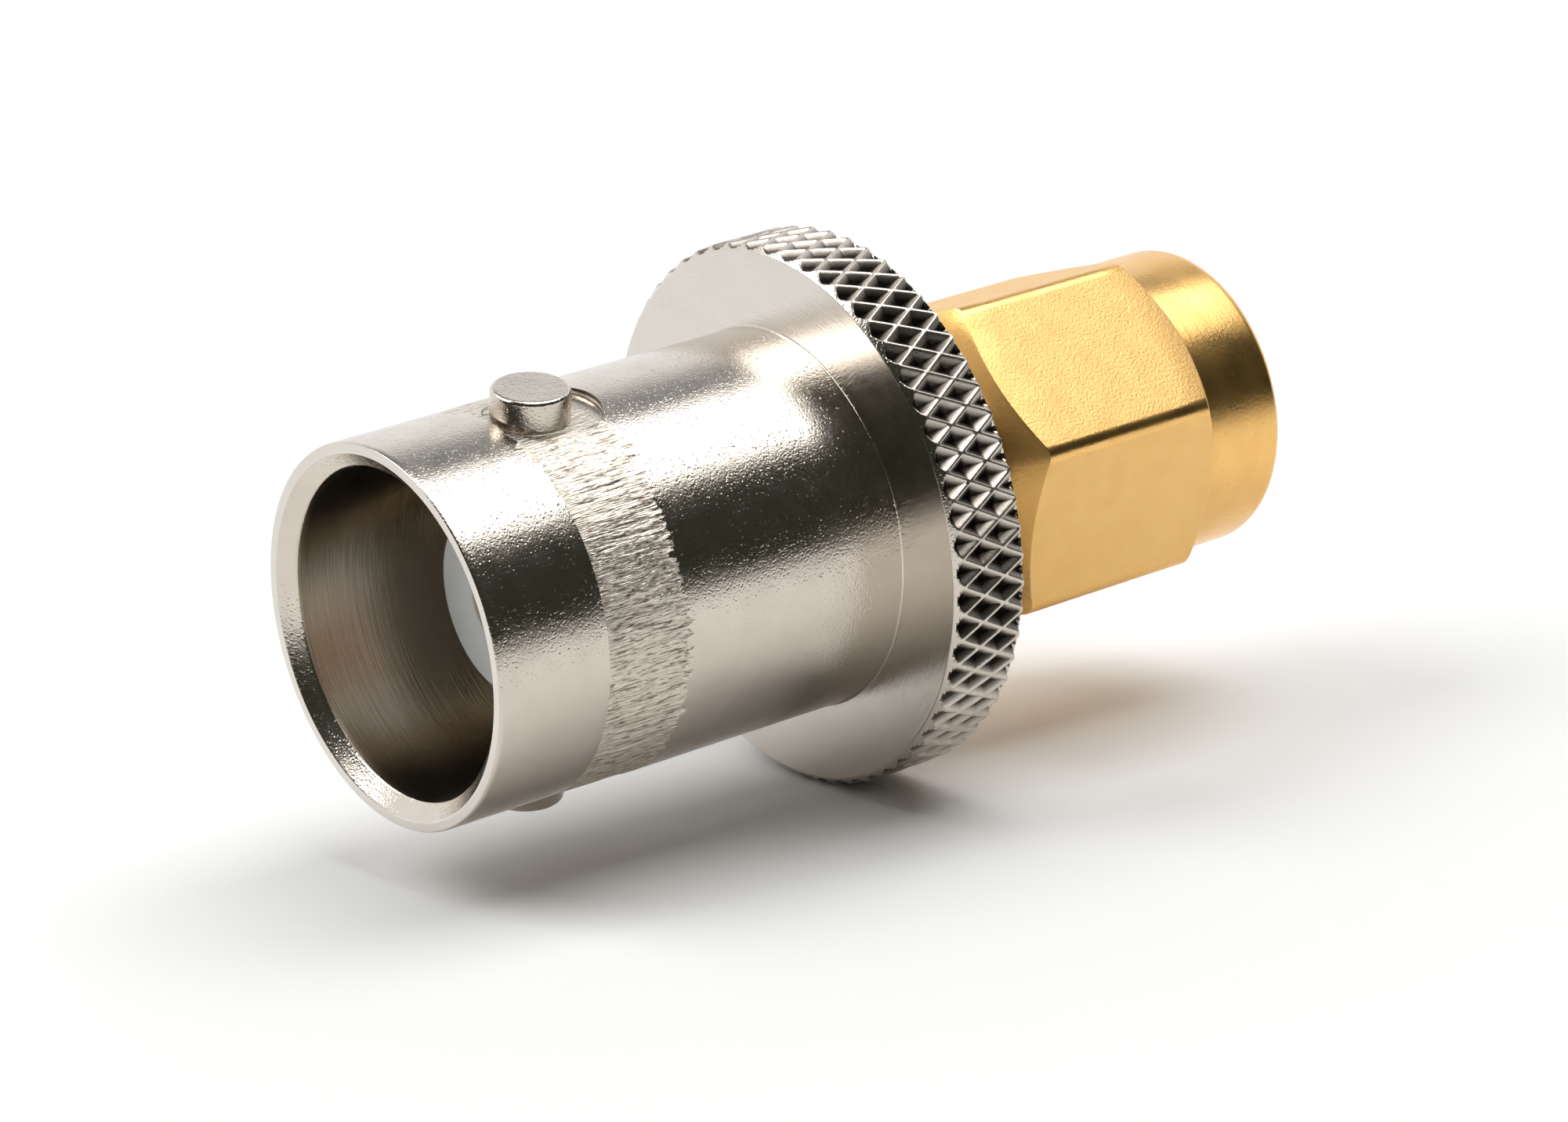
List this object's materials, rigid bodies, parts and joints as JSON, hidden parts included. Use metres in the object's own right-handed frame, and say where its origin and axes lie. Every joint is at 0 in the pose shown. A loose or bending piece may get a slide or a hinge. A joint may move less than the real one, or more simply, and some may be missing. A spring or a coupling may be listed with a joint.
{
  "type": "bnc to sma adapter",
  "caption": "Coaxial adapter with a bayonet socket at one end, a knurled flange in the middle and a plug with a hexagonal coupling nut at the other end.",
  "frame": {"origin": "centre of the BNC mouth, on the plane of its rim", "axes": "+Z along the connector axis from the BNC mouth to the SMA end, Y through the two bayonet lugs"},
  "size_m": [0.014, 0.014, 0.0254],
  "materials": {
    "nickel": "turned brass, bright nickel plate",
    "gold": "turned brass, satin gold plate",
    "ptfe": "machined white fluoropolymer",
    "spring_bronze": "bright spring wire",
    "silicone": "moulded silicone rubber"
  },
  "bodies": {
    "adapter": {"bnc_body": "nickel", "bnc_insulator": "ptfe", "centre_contact": "gold", "sma_insulator": "ptfe", "sma_ferrule": "gold", "retaining_ring": "spring_bronze", "gasket": "silicone"},
    "nut": {"coupling_nut": "gold"}
  },
  "joints": [
    {"name": "nut_spin", "type": "hinge", "parent": "adapter", "child": "nut", "pos_m": [0, 0, 0.02], "axis": [0, 0, 1], "continuous": true}
  ]
}
